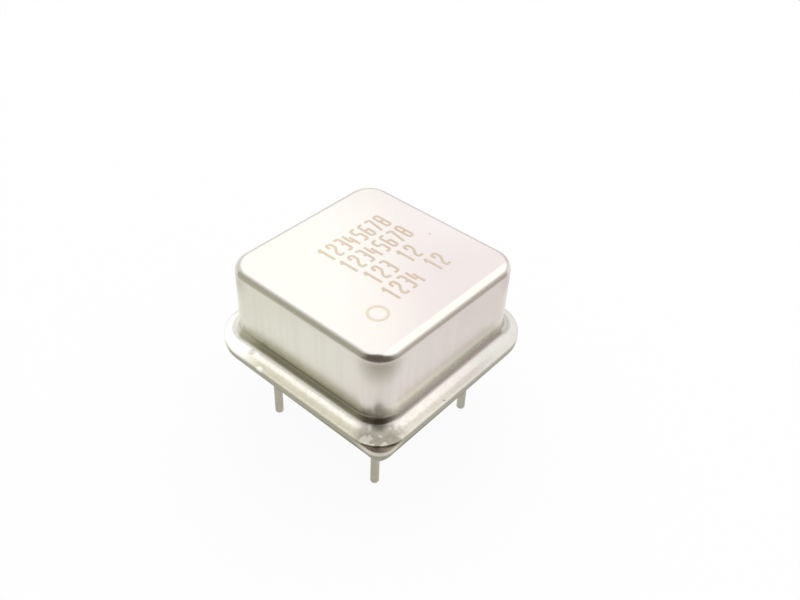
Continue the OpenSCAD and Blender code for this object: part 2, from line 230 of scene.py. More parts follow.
# %% Loop helpers
def rounded_square(bm, half, radii, z, steps):
    """Adds a square edge loop at height z. radii are its corners in lead order 1, 4, 5, 8."""
    old_edges, old_faces = set(bm.edges), set(bm.faces)
    turned = Matrix.Translation((0, 0, z)) @ Matrix.Rotation(math.pi / 4, 4, "Z")
    square = bmesh.ops.create_circle(
        bm, cap_ends=True, segments=4, radius=half * math.sqrt(2), matrix=turned)["verts"]
    corners = sorted(square, key=lambda v: math.atan2(v.co.y, v.co.x))
    for corner, radius in zip(corners, radii):
        bmesh.ops.bevel(bm, geom=[corner], offset=radius, offset_type="OFFSET", segments=steps,
                        profile=0.5, affect="VERTICES", material=-1)
    bmesh.ops.delete(bm, geom=[f for f in bm.faces if f not in old_faces], context="FACES_ONLY")
    return [e for e in bm.edges if e not in old_edges]


def bridge(bm, loop_a, loop_b):
    """Faces between two edge loops."""
    return bmesh.ops.bridge_loops(bm, edges=loop_a + loop_b)["faces"]


def round_over(bm, edges, radius, steps):
    """Bevels edges to a round of this radius."""
    return bmesh.ops.bevel(bm, geom=edges, offset=radius, offset_type="OFFSET", segments=steps,
                           profile=0.5, affect="EDGES", material=-1)


def cut(bm, point, normal):
    """Adds an edge loop where a plane crosses the mesh."""
    geom = bm.verts[:] + bm.edges[:] + bm.faces[:]
    bmesh.ops.bisect_plane(bm, geom=geom, dist=0.0001 * MM, plane_co=point, plane_no=normal)


# %% [markdown]
# Every finished bmesh goes through one function. It merges doubles, turns the faces outwards,
# and shades the mesh smooth except where a face lies square to an axis: those are the flat
# stretches between the rounds, and they must stay flat.

# %% Finish a piece
def finish_piece(bm, name, material, stands_for=(), keep_flat=True):
    bmesh.ops.remove_doubles(bm, verts=bm.verts, dist=0.0005 * MM)
    bmesh.ops.recalc_face_normals(bm, faces=bm.faces)
    for face in bm.faces:
        square_on = max(abs(v) for v in face.normal) > 0.99999
        face.smooth = not (keep_flat and square_on)
    open_edges = sum(1 for e in bm.edges if len(e.link_faces) != 2)
    mesh = bpy.data.meshes.new(name)
    bm.to_mesh(mesh)
    bm.free()
    mesh.materials.append(material)
    piece = bpy.data.objects.new(name, mesh)
    bpy.context.scene.collection.objects.link(piece)
    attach(piece, "root")
    if stands_for:
        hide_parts(*stands_for)
    print(f"{name}: {len(mesh.polygons)} faces, {open_edges} open edges")
    return piece


# %% [markdown]
# The cover is one sheet of 0.25 mm steel: a flat top, a round top edge, upright walls with
# round corners, and a bend out to the flange that the press trims square. Its corner over
# lead 1 is trimmed tighter than the others. The flange's width and all heights are read from
# the CAD box, and the sheet's thickness and the radii are named sizes of their own.

# %% Cover sizes
SHEET = 0.25 * MM
CAN_CORNER_R = 1.43 * MM
TOP_EDGE_R = 0.48 * MM
FOOT_BEND_R = 0.60 * MM
FLANGE_REACH = 0.975 * MM
COVER_CORNER_RADII = [1.7 * MM, 2.6 * MM, 2.6 * MM, 2.6 * MM]
CORNER_STEPS = 16
MARK_PROUD = 0.004 * MM  # the laser marks stand this little above the top

cover_low, cover_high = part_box("cover")
flange_half = cover_high.x
can_half = flange_half - FLANGE_REACH
corner_axis = can_half - CAN_CORNER_R
weld_z = cover_low.z
foot_z = weld_z + SHEET
top_z = cover_high.z - MARK_PROUD
print("Can", round(2 * can_half / MM, 2), "mm wide, flange", round(2 * flange_half / MM, 2))


def from_wall(place):
    """Distance of a point outwards from the can's wall, in plan."""
    over = Vector((max(abs(place.x) - corner_axis, 0), max(abs(place.y) - corner_axis, 0)))
    return over.length - CAN_CORNER_R


# %% [markdown]
# Satin nickel plate, the cover's finish. Nickel is a slightly warm grey metal, and a matt
# plating bath leaves it finely pebbled, so it is one Principled metal with a low roughness
# and a fine relief. Its gloss and relief also depend on the weld, so it starts from a bare
# material. Its masks read a few plain measures of the place: the height above the flange, how
# far to the right of the lead 1 corner, how far back, and how far out of the wall.

# %% Cover finish: plate and measures
cover_nickel, tree, shader = new_material("satin_nickel_on_drawn_steel", {"Metallic": 1.0})
place = object_place(tree)
tint = mix_colour(tree, noise(tree, place, 3.0, 3.0), "#E0DDD4", "#DBD7CD")
grain = noise(tree, place, 0.08, 3.0)
x, y, z = add_node(tree, "ShaderNodeSeparateXYZ", {}, {"Vector": place}).outputs
height = calc(tree, "SUBTRACT", z, foot_z)
across = calc(tree, "SUBTRACT", x, y)
back = calc(tree, "ADD", x, y)
folded = vector_calc(tree, "ABSOLUTE", place)  # all four corners as one
beyond = vector_calc(tree, "SUBTRACT", folded, (corner_axis, corner_axis, 0))
beyond = vector_calc(tree, "MULTIPLY", vector_calc(tree, "MAXIMUM", beyond), (1, 1, 0))
edge = calc(tree, "SUBTRACT", vector_calc(tree, "LENGTH", beyond), CAN_CORNER_R)
print("The plate and its measures take", len(tree.nodes), "nodes")

# %% [markdown]
# The plate is painted a little greener on the left and rosier on the right, as painted
# reflections of the room. The top has painted light: brighter, most of all on its left, with
# painted shade towards its back, rosy painted reflections on its right, and a painted
# highlight along its -Y edge. The walls have faint upright draw lines, and a brownish
# painted shade darkens them just below the top at the corners.

# %% Cover finish: top and walls
on_top = ramp(tree, height, 4.35, 4.55)
below_top = ramp(tree, height, 4.3, 3.9)
# Painted reflections of the room: greener on the left walls, rosier on the right
tint = wash(tree, tint, "#E4E2D4", ramp(tree, across, 4, -8), below_top)
tint = wash(tree, tint, "#DFD3D1", ramp(tree, across, -5, 5), 0.8)
# Painted light on the top: brighter on the left, shade at the back, rosy on the right
tint = wash(tree, tint, "#EEECE8", ramp(tree, across, 5, -4), on_top, 0.55)
tint = wash(tree, tint, "#D6D3CC", ramp(tree, back, 5, 10), on_top, 0.3)
tint = wash(tree, tint, "#D3CBCB", ramp(tree, across, 0, 6), on_top,
            ramp(tree, y, -5.12, -4.92), 0.5)
tint = wash(tree, tint, "#E8E2E2", ramp(tree, back, -1, 5), ramp(tree, across, 0, 5), on_top, 0.4)
# Painted highlight along the top's -Y edge
tint = wash(tree, tint, "#F2F0E6", ramp(tree, y, -4.92, -5.12), ramp(tree, height, 4.2, 4.4), 0.6)

# Noise squeezed 25 times along Z turns to upright streaks
squeezed = add_node(tree, "ShaderNodeMapping", {}, {"Vector": place, "Scale": (1.0, 1.0, 0.04)})
lines = noise(tree, squeezed.outputs["Vector"], 0.3, 4.0)
tint = wash(tree, tint, "#AFAB9C", ramp(tree, lines, 0.38, 0.66, unit=1),
            ramp(tree, height, 0.1, 0.6), ramp(tree, height, 4.4, 3.6), 0.07)

# Painted shade just below the top at each corner, browner than the plate
corner_out = corner_axis + CAN_CORNER_R * math.sqrt(0.5)
corner_top = Vector((corner_out, corner_out, top_z - 0.6 * MM))
from_corner_top = vector_calc(tree, "DISTANCE", folded, corner_top)
tint = wash(tree, tint, "#8B8371", ramp(tree, from_corner_top, 1.7, 0.0), below_top, 0.65)
print("With the top and walls it has", len(tree.nodes), "nodes")

# %% [markdown]
# The lowest part of the walls on the left is tinted straw to olive, partly by the weld's heat
# and partly as painted shade. The bend's crease holds dirt and painted shade, more on the left
# and less by lead 8, with a thin line of painted shade just above it, and a painted highlight
# lies on the -Y wall above the foot.

# %% Cover finish: foot
left_side = ramp(tree, across, 3, -3)
# Less painted shade and dirt near lead 8
by_lead_8 = spot(tree, place, (-5.4, 5.4, 6.9), 3.0)
shaded_and_soiled = calc(tree, "SUBTRACT", 1.0, calc(tree, "MULTIPLY", by_lead_8, 0.8))
blotch = noise(tree, place, 0.5, 5.0)
# Heat tint and painted shade low on the left walls
tint = wash(tree, tint, "#8F8B6E", ramp(tree, height, 1.1, 0.3), ramp(tree, edge, 0.25, 0.1),
            blotch, left_side, shaded_and_soiled, 0.5)
# Painted shade and dirt in the bend's crease
tint = wash(tree, tint, "#6F6B57", ramp(tree, height, 0.12, 0.26), ramp(tree, height, 0.75, 0.5),
            calc(tree, "ADD", left_side, 0.4), shaded_and_soiled, 0.45)
# A thin line of painted shade just above the crease
tint = wash(tree, tint, "#6F6B57", ramp(tree, height, 0.33, 0.44), ramp(tree, height, 0.62, 0.50),
            0.2)
# Painted highlight on the -Y wall above the foot
tint = wash(tree, tint, "#FBFBEE", ramp(tree, height, 0.4, 0.6), ramp(tree, height, 1.4, 0.8),
            ramp(tree, across, -1, 1.5), ramp(tree, y, -4.6, -5.3), 0.75)
print("With the foot it has", len(tree.nodes), "nodes")

# %% [markdown]
# The flange is painted a little brighter, then given painted shade towards its rim, more on
# the left, and the weld leaves it mottled. The weld starts at the lead 1 corner, where it is
# darkest, with painted glints. The flange has painted shade along the -Y side, and a painted
# highlight at the corner by lead 8.

# %% Cover finish: flange
on_flange = ramp(tree, edge, 0.15, 0.26)
# Painted highlight: the whole flange is brighter
tint = wash(tree, tint, "#F1EEE4", on_flange, 0.5)
# Painted shade towards the flange's rim, heavier on the left
rim_shade_weight = calc(tree, "ADD", calc(tree, "MULTIPLY", left_side, 0.25), 0.4)
tint = wash(tree, tint, "#C9C4B2", ramp(tree, edge, 0.4, 0.9), rim_shade_weight)
tint = wash(tree, tint, "#8F8C79", ramp(tree, height, -0.12, -0.2), 0.5)
mottle = noise(tree, place, 0.28, 4.0, roughness=0.65)
tint = wash(tree, tint, "#A5A08E", ramp(tree, mottle, 0.42, 0.62, unit=1), on_flange, 0.15)
weld_start = product(tree, spot(tree, place, (-5.7, -5.7, 6.45), 1.7), on_flange)
tint = wash(tree, tint, "#7E7A68", weld_start, mottle, 0.5)
# Painted glints at the weld's start
tint = wash(tree, tint, "#FBF9F0", weld_start, ramp(tree, blotch, 0.50, 0.62, unit=1), 0.7)
# Painted shade along the flange's -Y side
tint = wash(tree, tint, "#C2C3BC", ramp(tree, across, 2.5, 9), on_flange, 0.6)
# Painted highlight at the flange's corner by lead 8
tint = wash(tree, tint, "#FFFFFA", spot(tree, place, (-6.0, 5.4, 6.5), 3.2), on_flange, 0.7)
print("With the flange it has", len(tree.nodes), "nodes")

# %% [markdown]
# Handling leaves small marks: a nick, pits, a smudge and a speck on the top. With them stand
# painted glints on the flange and a spot of painted shade at the foot of the lead 1 corner.
# Each is a spot in millimetres with a radius, a colour and a share. Last come the gloss, which
# the weld makes rougher where it starts, and a relief of grain and mottling.

# %% Cover finish: marks, gloss and relief
MARKS_GLINTS_AND_SHADE = [
    # A nick, two pits, painted glints, a smudge, a speck, and painted shade at the corner's foot
    ((3.15, -5.83, 6.5), 0.10, "#55514A", 0.9), ((-1.57, -6.34, 6.45), 0.07, "#6A655A", 0.8),
    ((-0.75, -5.68, 6.6), 0.07, "#6A655A", 0.8), ((-6.44, 2.1, 6.4), 0.28, "#F8F6F0", 0.8),
    ((-5.9, 3.24, 6.5), 0.28, "#A0938E", 0.45), ((-6.34, -5.34, 6.4), 0.12, "#F8F6F0", 0.9),
    ((-6.16, -5.68, 6.4), 0.10, "#F8F6F0", 0.9), ((3.8, -0.55, 11.13), 0.10, "#A69B8C", 0.5),
    ((-5.15, -5.15, 6.68), 0.50, "#5A5648", 0.6)]

for centre, radius, colour, share in MARKS_GLINTS_AND_SHADE:
    tint = wash(tree, tint, colour, spot(tree, place, centre, radius), share)
tree.links.new(tint, shader.inputs["Base Color"])
gloss = calc(tree, "ADD", calc(tree, "MULTIPLY", grain, 0.12), 0.18)
gloss = calc(tree, "ADD", gloss, calc(tree, "MULTIPLY", weld_start, 0.4))
tree.links.new(gloss, shader.inputs["Roughness"])
heights_mm = calc(tree, "ADD", calc(tree, "MULTIPLY", grain, 0.0008),
                  product(tree, mottle, on_flange, 0.004))
emboss(tree, shader, heights_mm, 1.0)
print("The cover's finish has", len(tree.nodes), "nodes in all")

# %% [markdown]
# The sheet's whole section is built at once, so the piece is closed from the start: loops run
# from the top down the outside to the flange's rim, and back under it and up the inside.
# Bevels then make the bends, and an inner bend is rounder or tighter than its outer one by
# the sheet's thickness. Extra loops close to each bend keep the flat stretches flat under
# smooth shading. Last, the weld presses the flange down a little towards its edge.

# %% Drawn cover
TRIM_ROUND = 0.02 * MM
HOLDING_GAP = 0.06 * MM
WELD_SLOPE = 0.15


def drawn_cover():
    bm = bmesh.new()
    outer, inner = [CAN_CORNER_R] * 4, [CAN_CORNER_R - SHEET] * 4
    top = rounded_square(bm, can_half, outer, top_z, CORNER_STEPS)
    foot = rounded_square(bm, can_half, outer, foot_z, CORNER_STEPS)
    rim = rounded_square(bm, flange_half, COVER_CORNER_RADII, foot_z, CORNER_STEPS)
    trim = rounded_square(bm, flange_half, COVER_CORNER_RADII, weld_z, CORNER_STEPS)
    mouth = rounded_square(bm, can_half - SHEET, inner, weld_z, CORNER_STEPS)
    ceiling = rounded_square(bm, can_half - SHEET, inner, top_z - SHEET, CORNER_STEPS)
    bridge(bm, top, foot)
    bridge(bm, foot, rim)
    bridge(bm, rim, trim)
    bridge(bm, trim, mouth)
    bridge(bm, mouth, ceiling)
    bmesh.ops.contextual_create(bm, geom=top)
    bmesh.ops.contextual_create(bm, geom=ceiling)
    bmesh.ops.recalc_face_normals(bm, faces=bm.faces)
    round_over(bm, ceiling, TOP_EDGE_R - SHEET, 6)
    round_over(bm, mouth, FOOT_BEND_R + SHEET, 6)
    round_over(bm, rim + trim, TRIM_ROUND, 3)
    round_over(bm, foot, FOOT_BEND_R, 14)
    round_over(bm, top, TOP_EDGE_R, 12)
    flat_ring = [f for f in bm.faces if abs(f.calc_center_median().z - foot_z) < LEVEL
                 and from_wall(f.calc_center_median()) > FOOT_BEND_R]
    spokes = [e for f in flat_ring for e in f.edges if from_wall(e.verts[0].co) > 0
              and abs(from_wall(e.verts[0].co) - from_wall(e.verts[1].co)) > 0.2 * MM]
    bmesh.ops.subdivide_edges(bm, edges=list(set(spokes)), cuts=3)
    return bm


def add_holding_loops(bm):
    """Loops beside the bends and across the flat stretches."""
    for z in (top_z - TOP_EDGE_R - HOLDING_GAP, foot_z + FOOT_BEND_R + HOLDING_GAP):
        cut(bm, (0, 0, z), (0, 0, 1))
    for side in (-1, 1):
        for axis in (Vector((1, 0, 0)), Vector((0, 1, 0))):
            cut(bm, axis * side * (corner_axis - HOLDING_GAP), axis)
            cut(bm, axis * side * (corner_axis / 2), axis)
    lid = [f for f in bm.faces if f.calc_center_median().z > top_z - LEVEL]
    bmesh.ops.inset_region(bm, faces=lid, thickness=HOLDING_GAP, use_even_offset=True)


def sink_flange(bm):
    """Slopes the bend's end and the flange down outwards, in proportion to height in the sheet."""
    for v in bm.verts:
        out = from_wall(v.co)
        if out > 0 and v.co.z < foot_z + FOOT_BEND_R:
            sink = out * out / (2 * FOOT_BEND_R) if out < FOOT_BEND_R else out - FOOT_BEND_R / 2
            v.co.z -= WELD_SLOPE * sink * min((v.co.z - weld_z) / SHEET, 1)


bm = drawn_cover()
add_holding_loops(bm)
sink_flange(bm)
finish_piece(bm, "drawn_cover", cover_nickel, ["cover"], keep_flat=False)

# %% [markdown]
# The header is stamped from thicker steel. Its flange matches the cover's, but for one
# corner that is left squarer to show where lead 1 is. Its middle is pressed up to a platform
# that fits inside the can, and four holes are pierced for the leads. Loops are bridged into
# walls and capped, and the edges are bevelled while the caps are still one face each. Only
# then are the caps opened and filled again round the holes and the platform, because a bevel
# beside a triangle fill makes spikes. The squarer corner droops a little from the press.

# %% Header sizes
HEADER_CORNER_RADII = [0.88 * MM, 2.6 * MM, 2.6 * MM, 2.6 * MM]
PLATFORM_HALF = 5.12 * MM
PLATFORM_CORNER_R = 1.06 * MM
PLATFORM_EDGE_R = 0.15 * MM
DIE_ROUND, UNDER_ROUND = 0.02 * MM, 0.06 * MM  # what the die leaves on the flange's two edges
HOLE_STEPS = 32
SEAL_R = 0.8 * MM
BRAZE_R = 0.43 * MM
CORNER_TIP, CORNER_REACH = Vector((-6.21, -6.21)) * MM, 1.3 * MM
CORNER_DROOP = 0.35 * MM
LEAD_CORNERS = {1: (-1, -1), 4: (1, -1), 5: (1, 1), 8: (-1, 1)}
LEAD_NODES = {1: "lead_1_enable", 4: "lead_4_ground", 5: "lead_5_output", 8: "lead_8_supply"}

header_low, header_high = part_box("header")
header_z, platform_z = header_low.z, header_high.z


def lead_place(number):
    """The centre of a lead in plan, from its CAD box."""
    low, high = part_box(LEAD_NODES[number])
    return Vector(((low.x + high.x) / 2, (low.y + high.y) / 2, 0))


print("Lead pitch", round((lead_place(4) - lead_place(1)).length / MM, 2), "mm")


# %% Stamped header
def ring(bm, centre, radius, z, steps):
    """Adds a round edge loop."""
    old = set(bm.edges)
    bmesh.ops.create_circle(bm, cap_ends=False, segments=steps, radius=radius,
                            matrix=Matrix.Translation((centre.x, centre.y, z)))
    return [e for e in bm.edges if e not in old]


def pierce(bm, z, holes):
    """Opens holes in the one wide face at a height."""
    wide = max((f for f in bm.faces if abs(f.calc_center_median().z - z) < LEVEL),
               key=lambda f: f.calc_area())
    outline = list(wide.edges)
    bmesh.ops.delete(bm, geom=[wide], context="FACES_ONLY")
    bmesh.ops.triangle_fill(bm, use_beauty=True, edges=outline + holes)


def stamped_header():
    bm = bmesh.new()
    platform_radii = [PLATFORM_CORNER_R] * 4
    under = rounded_square(bm, flange_half, HEADER_CORNER_RADII, header_z, 12)
    over = rounded_square(bm, flange_half, HEADER_CORNER_RADII, weld_z, 12)
    step = rounded_square(bm, PLATFORM_HALF, platform_radii, weld_z, 12)
    table = rounded_square(bm, PLATFORM_HALF, platform_radii, platform_z, 12)
    bridge(bm, under, over)
    bridge(bm, step, table)
    for loop in (under, over, table):
        bmesh.ops.contextual_create(bm, geom=loop)
    bmesh.ops.recalc_face_normals(bm, faces=bm.faces)
    round_over(bm, table, PLATFORM_EDGE_R, 4)
    round_over(bm, over, DIE_ROUND, 3)
    round_over(bm, under, UNDER_ROUND, 4)
    holes_under, holes_over = [], []
    for number in LEAD_CORNERS:
        radius = BRAZE_R if number == 4 else SEAL_R
        holes_under += ring(bm, lead_place(number), radius, header_z, HOLE_STEPS)
        holes_over += ring(bm, lead_place(number), radius, platform_z, HOLE_STEPS)
        bridge(bm, holes_under[-HOLE_STEPS:], holes_over[-HOLE_STEPS:])
    pierce(bm, header_z, holes_under)
    pierce(bm, weld_z, step)
    pierce(bm, platform_z, holes_over)
    for v in bm.verts:
        near = 1 - (v.co.xy - CORNER_TIP).length / CORNER_REACH
        if near > 0 and v.co.z < header_z + UNDER_ROUND + 0.01 * MM:
            v.co.z -= CORNER_DROOP * near
    return bm


# %% [markdown]
# The header's cut edge is darker, but not at the lead 1 corner, and its lowest edge has
# painted shade. The ledge that shows there beside the cover is tinted brown.

# %% Header finish
header_nickel, tree, shader, place, tint = worked_surface(
    "satin_nickel_on_stamped_steel", "#D6D2C6", "#C6C1B2", 1.2, 0.10, 0.0003, (0.24, 0.34),
    {"Metallic": 1.0})
x, y, z = add_node(tree, "ShaderNodeSeparateXYZ", {}, {"Vector": place}).outputs
reach = calc(tree, "MAXIMUM", calc(tree, "ABSOLUTE", x), calc(tree, "ABSOLUTE", y))
past_edge = calc(tree, "SUBTRACT", reach, flange_half)
off_lead_1_corner = calc(tree, "SUBTRACT", 1.0, spot(tree, place, (-6.2, -6.2, 6.1), 1.6))
tint = wash(tree, tint, "#9A9784", ramp(tree, past_edge, -0.2, -0.05), off_lead_1_corner, 0.85)
# Painted shade along the header's lowest edge
tint = wash(tree, tint, "#6E6A58", ramp(tree, calc(tree, "SUBTRACT", z, header_z), 0.08, 0.0), 0.6)
tint = wash(tree, tint, "#A59B8D", ramp(tree, calc(tree, "SUBTRACT", z, weld_z), -0.02, -0.005))
tree.links.new(tint, shader.inputs["Base Color"])
finish_piece(stamped_header(), "stamped_header", header_nickel, ["header"])

# %% [markdown]
# Round pieces are spun: a few points give half of the section, its corners are rounded by
# bevelling those points, and spin carries it once round the lead's axis. A lead is a nickel
# iron wire, and its free end has a dull tin coat that stands a hair proud. Its tip is
# cropped, so it is nearly flat with a small round.

# %% Spun pieces
def spun(bm, centre, section, steps=32):
    """Spins a section round a lead's axis. Each point is (radius, z, corner round) in metres."""
    points = [bm.verts.new((centre.x + r, centre.y, z)) for r, z, _ in section]
    edges = [bm.edges.new(pair) for pair in zip(points, points[1:])]
    old_verts, old_edges = set(bm.verts) - set(points), set(bm.edges) - set(edges)
    for point, (_, _, radius) in zip(points, section):
        if radius:
            bmesh.ops.bevel(bm, geom=[point], offset=radius, offset_type="OFFSET", segments=5,
                            profile=0.5, affect="VERTICES", material=-1)
    strip = [v for v in bm.verts if v not in old_verts]
    strip += [e for e in bm.edges if e not in old_edges]
    bmesh.ops.spin(bm, geom=strip, cent=(centre.x, centre.y, 0), axis=(0, 0, 1),
                   angle=2 * math.pi, steps=steps, use_merge=True)


# %% Leads
tin_coat = worked_surface(
    "dull_tin_on_alloy_wire", "#BFBAAC", "#A19B8B", 0.5, 0.12, 0.004, (0.30, 0.42),
    {"Metallic": 1.0})[0]
COAT_R = 0.245 * MM
WIRE_R = 0.23 * MM
COAT_TOP = 5.3 * MM
TIP_R = 0.12 * MM

for number, node in LEAD_NODES.items():
    low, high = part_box(node)
    bm = bmesh.new()
    spun(bm, lead_place(number), [
        (0, low.z, 0), (COAT_R, low.z, TIP_R), (COAT_R, low.z + 0.3 * MM, 0),
        (COAT_R, COAT_TOP - 0.1 * MM, 0), (COAT_R, COAT_TOP, 0.01 * MM),
        (WIRE_R, COAT_TOP + 0.03 * MM, 0), (WIRE_R, COAT_TOP + 0.1 * MM, 0),
        (WIRE_R, high.z - 0.3 * MM, 0), (WIRE_R, high.z, TIP_R), (0, high.z, 0)])
    finish_piece(bm, f"tinned_lead_{number}", tin_coat, [node])

# %% [markdown]
# Three leads are insulated: glass is melted into the header's holes round them. Molten glass
# wets the steel and the wire, so its faces are not flat but dip a little, and the bead under
# the header is round at its edge. It is a dark green-grey, glossy glass with tiny bubbles.
# The fourth lead is the ground, so it is brazed to the header, and the braze runs out into a
# hollow fillet.

# %% Glass seals
COLLAR_R = 0.65 * MM
STANDOFF_R = 0.60 * MM

seal_glass, tree, shader, place, tint = worked_surface(
    "fired_sealing_glass", "#46524B", "#2F3A35", 0.5, 0.15, 0.003, (0.08, 0.16), {"IOR": 1.52})
bubbles = add_node(tree, "ShaderNodeTexVoronoi", {}, {"Vector": place, "Scale": per_mm(0.16)})
pale = ramp(tree, bubbles.outputs["Distance"], 0.22, 0.12, unit=1)
tree.links.new(wash(tree, tint, "#8C968C", pale, 0.5), shader.inputs["Base Color"])

for number in (1, 5, 8):
    low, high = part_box(f"seal_{number}")
    bm = bmesh.new()
    spun(bm, lead_place(number), [
        (WIRE_R, low.z, 0), (0.25 * MM, low.z + 0.03 * MM, 0), (0.34 * MM, low.z, 0.04 * MM),
        (STANDOFF_R, low.z, 0.16 * MM), (STANDOFF_R, header_z - 0.03 * MM, 0.06 * MM),
        (SEAL_R, header_z - 0.002 * MM, 0.02 * MM), (SEAL_R, platform_z, 0.02 * MM),
        (COLLAR_R, platform_z + 0.02 * MM, 0.02 * MM), (COLLAR_R, high.z, 0.06 * MM),
        (0.30 * MM, high.z, 0.03 * MM), (WIRE_R, high.z - 0.01 * MM, 0), (WIRE_R, low.z, 0)])
    finish_piece(bm, f"glass_seal_{number}", seal_glass, [f"seal_{number}"])

# %% Ground braze
FILLET_R = 0.57 * MM

braze_metal = worked_surface(
    "silver_braze", "#D8CBA2", "#C2B283", 0.5, 0.10, 0.004, (0.22, 0.36), {"Metallic": 1.0})[0]

low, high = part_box("ground_braze")
bm = bmesh.new()
spun(bm, lead_place(4), [
    (WIRE_R, low.z, 0), (0.27 * MM, low.z, 0.01 * MM),
    (0.29 * MM, header_z - 0.04 * MM, 0.22 * MM), (FILLET_R, header_z - 0.02 * MM, 0.005 * MM),
    (FILLET_R, header_z, 0), (BRAZE_R, header_z, 0), (BRAZE_R, platform_z, 0),
    (COLLAR_R, platform_z, 0.01 * MM), (COLLAR_R, high.z, 0.05 * MM),
    (WIRE_R, high.z, 0), (WIRE_R, low.z, 0)])
finish_piece(bm, "ground_lead_braze", braze_metal, ["ground_braze"])

# %% [markdown]
# The laser marks the top by heating it: each line of the beam leaves a straw-coloured oxide
# one stroke wide, hardly proud of the plate. So the marks are drawn as such a laser draws,
# with single strokes. Four rows of plain counting digits stand where a maker would put its
# text, with a ring at the lead 1 corner. A digit is a few points, bevelled where the stroke
# turns, raised to a ribbon and thickened to the stroke's width.

# %% Single-stroke digits
STROKES = {
    "1": [[(0.5, 1.06), (0.5, -0.06)], [(0, 0.8), (0.5, 1)]],
    "2": [[(0, 0.72), (0, 1), (1, 1), (1, 0.6), (0, 0.25), (0, 0), (1, 0)]],
    "3": [[(0, 1), (1, 1), (1, 0), (0, 0)], [(0.3, 0.54), (1, 0.54)]],
    "4": [[(0.1, 1), (0, 0.35), (1, 0.35)], [(0.75, 0.7), (0.75, -0.06)]],
    "5": [[(1, 1), (0, 1), (0, 0.56), (1, 0.56), (1, 0), (0, 0)]],
    "6": [[(1, 1), (0, 1), (0, 0), (1, 0), (1, 0.58)], [(1, 0.52), (0, 0.52)]],
    "7": [[(-0.2, 1), (1, 1), (0.35, -0.05)]],
    "8": [[(0, 0.5), (0, 1), (1, 1), (1, 0.5)], [(0, 0.5), (0, 0), (1, 0), (1, 0.5)],
          [(0, 0.5), (1, 0.5)]],
}
DIGIT_W, DIGIT_H, DIGIT_PITCH, STROKE_W = 0.30 * MM, 1.08 * MM, 0.61 * MM, 0.16 * MM
TURN_R = 0.12 * MM  # more than half the stroke's width, so the inside of a turn stays open
MARK_DEPTH = 0.01 * MM
MARK_LAYER = 0.001 * MM  # each next stroke of a digit lies this much lower, to cross cleanly


def ribbon(bm, edges):
    """Raises strokes to the marks' depth and gives them the beam's width, half to each side."""
    raised = bmesh.ops.extrude_edge_only(bm, edges=edges)["geom"]
    points = [g for g in raised if isinstance(g, bmesh.types.BMVert)]
    bmesh.ops.translate(bm, verts=points, vec=(0, 0, MARK_DEPTH))
    faces = [g for g in raised if isinstance(g, bmesh.types.BMFace)]
    bmesh.ops.recalc_face_normals(bm, faces=faces)
    bm.normal_update()
    for v, normal in [(v, v.normal.copy()) for v in {v for f in faces for v in f.verts}]:
        v.co += normal * STROKE_W / 2
    bmesh.ops.solidify(bm, geom=faces, thickness=STROKE_W)


def stroke(bm, points, radius, z):
    """One stroke through points in metres, with its turns rounded to a radius."""
    old_edges = set(bm.edges)
    verts = [bm.verts.new((px, py, z)) for px, py in points]
    for pair in zip(verts, verts[1:]):
        bm.edges.new(pair)
    turns = []
    for before, at, after in zip(verts, verts[1:], verts[2:]):
        arms = before.co - at.co, after.co - at.co
        room = 0.45 * min(arm.length for arm in arms)
        turns.append((at, min(radius / math.tan(arms[0].angle(arms[1]) / 2), room)))
    for at, reach in turns:
        bmesh.ops.bevel(bm, geom=[at], offset=reach, offset_type="OFFSET", segments=4,
                        profile=0.5, affect="VERTICES", material=-1)
    ribbon(bm, [e for e in bm.edges if e not in old_edges])


# %% Laser marks
ROWS = [(2.10, [(-1.6, "12345678")]), (0.60, [(-1.5, "12345678")]),
        (-0.89, [(-1.3, "123"), (1.2, "12")]), (-2.38, [(-1.6, "1234"), (1.67, "12")])]
RING_PLACE = Vector((-2.96, -2.95, 0)) * MM
RING_R, RING_STEPS = 0.52 * MM, 40

oxide, tree, shader, place, tint = worked_surface(
    "laser_annealed_nickel", "#CEC0B1", "#C0B09E", 0.25, 0.05, 0.002, (0.24, 0.36),
    {"Metallic": 1.0})
# The marks are paler and more straw at the rows' first digits and on the ring
x, y, z = add_node(tree, "ShaderNodeSeparateXYZ", {}, {"Vector": place}).outputs
tint = wash(tree, tint, "#D8CAB0", ramp(tree, calc(tree, "SUBTRACT", x, y), 2, -4), 0.6)
ring_mm = (RING_PLACE + Vector((0, 0, cover_high.z))) / MM
tint = wash(tree, tint, "#E2D6C4", spot(tree, place, ring_mm, 1.4), 0.6)
tree.links.new(tint, shader.inputs["Base Color"])
mark_z = cover_high.z - MARK_DEPTH
bm = bmesh.new()
for row_y, groups in ROWS:
    for start_x, digits in groups:
        for i, digit in enumerate(digits):
            left = start_x * MM + STROKE_W / 2 + i * DIGIT_PITCH
            low = row_y * MM - DIGIT_H / 2
            for step, line in enumerate(STROKES[digit]):
                points = [(left + px * DIGIT_W, low + py * DIGIT_H) for px, py in line]
                stroke(bm, points, TURN_R, mark_z - step * MARK_LAYER)
ribbon(bm, ring(bm, RING_PLACE, RING_R, mark_z, RING_STEPS))
finish_piece(bm, "laser_marks", oxide)

# %% [markdown]
# The circuit inside keeps its CAD solids, since they already have the right shape. Each gets
# the finish that its real material has, on the node's own material slot.

# %% Dress a CAD node
def dress(material, *nodes):
    for name in nodes:
        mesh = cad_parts[name].data
        mesh.materials.clear()
        mesh.materials.append(material)
    print(material.name, "on", ", ".join(nodes))


# %% [markdown]
# The substrate is fired alumina: white, matt, and slightly grainy. The tracks on it are a
# silver-palladium paste that was pushed through a woven screen, so the fired film keeps a
# trace of the mesh. The real mesh has about 13 threads to a millimetre, and here it is drawn
# at 10, so that it can show.

